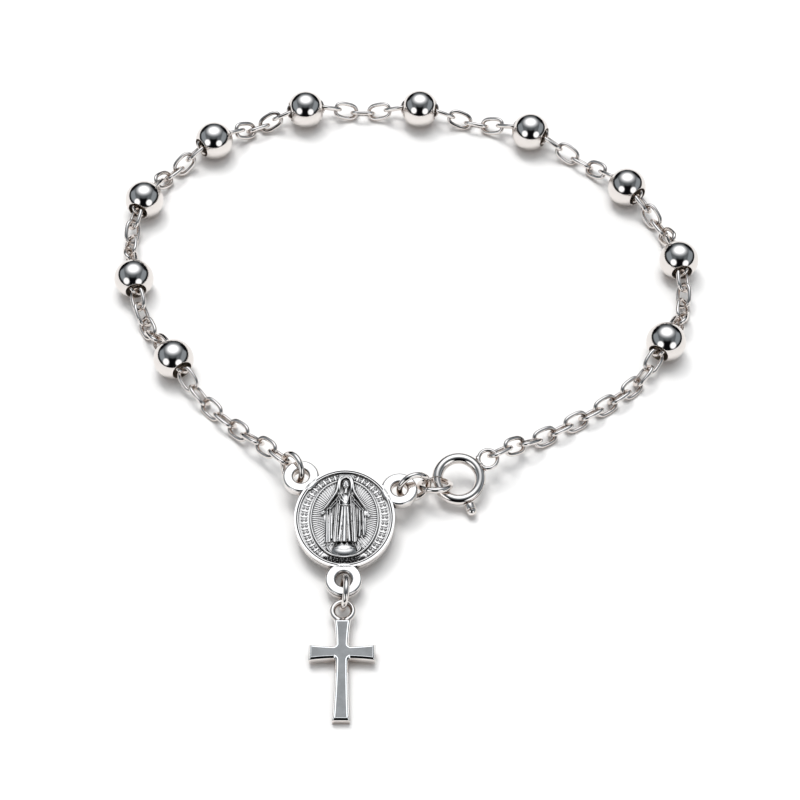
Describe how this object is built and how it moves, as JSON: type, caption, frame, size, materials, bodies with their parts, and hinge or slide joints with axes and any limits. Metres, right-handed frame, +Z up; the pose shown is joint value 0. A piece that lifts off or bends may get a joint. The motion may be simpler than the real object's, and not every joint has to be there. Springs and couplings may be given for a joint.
{
  "type": "rosary bracelet",
  "caption": "Silver rosary bracelet with round beads on link chain, a cast oval medal, a small hanging cross and a spring-ring clasp, laid out as a closed loop.",
  "frame": {"origin": "middle of the laid-out bracelet's outline, on the surface it lies on", "axes": "+Z up from the surface; +Y from the cross towards the far beads; +X to the right, where the clasp is"},
  "size_m": [0.0598, 0.0768, 0.0041],
  "materials": {
    "polished_silver": "mirror polished sterling silver",
    "satin_silver": "smooth satin face with bright bevels",
    "antiqued_silver": "polished raised relief over darkened recesses"
  },
  "bodies": {
    "bracelet": {"bead_01": "polished_silver", "bead_02": "polished_silver", "bead_03": "polished_silver", "bead_04": "polished_silver", "bead_05": "polished_silver", "bead_06": "polished_silver", "bead_07": "polished_silver", "bead_08": "polished_silver", "bead_09": "polished_silver", "bead_10": "polished_silver", "chain_left": "polished_silver", "chain_right": "polished_silver", "left_jump_ring": "polished_silver", "medal": "antiqued_silver", "drop_jump_ring": "polished_silver", "cross": "satin_silver", "right_jump_ring": "polished_silver", "clasp_jump_ring": "polished_silver", "clasp_ring": "polished_silver"},
    "clasp_bolt": {"clasp_bolt": "polished_silver"}
  },
  "joints": [
    {"name": "clasp_open", "type": "hinge", "parent": "bracelet", "child": "clasp_bolt", "pos_m": [0.00485, -0.01277, 0.00183], "axis": [0, -0.342, 0.9397], "range_deg": [0, 46], "stiffness_Nm_per_rad": 0.002, "springref_deg": -11.46}
  ]
}
